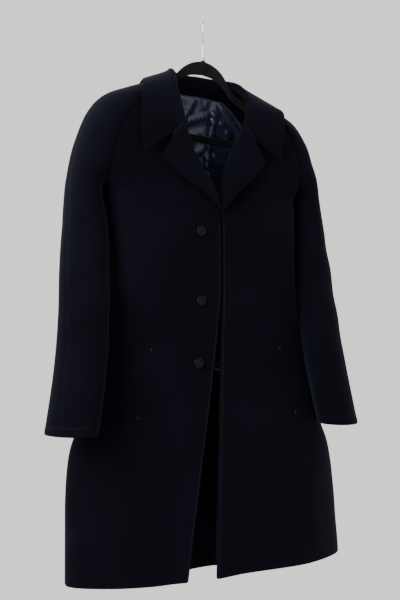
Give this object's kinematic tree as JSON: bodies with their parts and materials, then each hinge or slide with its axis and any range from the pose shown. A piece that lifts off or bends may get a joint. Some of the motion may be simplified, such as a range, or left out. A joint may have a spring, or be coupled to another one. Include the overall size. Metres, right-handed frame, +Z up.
{
  "type": "overcoat on hanger",
  "caption": "Raglan wool overcoat with a notch collar, satin lining and fly front, hung on a flocked hanger whose wire hook swivels; the skirt fronts swing open.",
  "frame": {"origin": "the hook's seat, the top of the wire's inner side, where a rail touches it", "axes": "+Z up, along the hook's shank; the coat's front faces -Y; +X is the wearer's left"},
  "size_m": [0.7282, 0.2361, 1.2374],
  "materials": {
    "wool": "matt heavy wool with a short nap, dark navy",
    "lining_satin": "glossy satin, dark navy",
    "canvas": "plain pocketing and padding",
    "flock": "black flocking",
    "chrome": "polished",
    "horn": "dark horn, polished"
  },
  "bodies": {
    "hook": {"hook": "chrome", "hook_stop": "chrome"},
    "coat": {"hanger_body": "flock", "swivel_collar": "chrome", "top_collar": "wool", "under_collar": "wool", "collar_stand": "wool", "neck_facing": "wool", "vent_underlap": "wool", "button_1": "horn", "front_left": "wool", "front_right": "wool", "sleeve_front_left": "wool", "sleeve_front_right": "wool", "sleeve_back_left": "wool", "sleeve_back_right": "wool", "sleeve_lining_front_left": "lining_satin", "sleeve_lining_front_right": "lining_satin", "sleeve_lining_back_left": "lining_satin", "sleeve_lining_back_right": "lining_satin", "lapel_left": "wool", "lapel_right": "wool", "pocket_welt_left": "wool", "pocket_welt_right": "wool", "pocket_bag_left": "canvas", "pocket_bag_right": "canvas", "front_lining_left": "lining_satin", "front_lining_right": "lining_satin", "back_left": "wool", "back_right": "wool", "back_lining_left": "lining_satin", "back_lining_right": "lining_satin", "shoulder_pad_left": "canvas", "shoulder_pad_right": "canvas"},
    "skirt_left": {"skirt_left": "wool", "facing_left": "wool", "skirt_lining_left": "lining_satin", "fly_placket": "wool"},
    "skirt_right": {"skirt_right": "wool", "facing_right": "wool", "skirt_lining_right": "lining_satin", "button_2": "horn", "button_3": "horn"}
  },
  "joints": [
    {"name": "hook_swivel", "type": "hinge", "parent": "hook", "child": "coat", "pos_m": [0, 0, -0.09], "axis": [0, 0, 1], "continuous": true},
    {"name": "skirt_left_open", "type": "hinge", "parent": "coat", "child": "skirt_left", "pos_m": [0.002, -0.0965, -0.43], "axis": [0.2936, 0, -0.9559], "range_deg": [-35, 0]},
    {"name": "skirt_right_open", "type": "hinge", "parent": "coat", "child": "skirt_right", "pos_m": [-0.002, -0.0965, -0.43], "axis": [-0.2936, 0, -0.9559], "range_deg": [0, 35]}
  ]
}
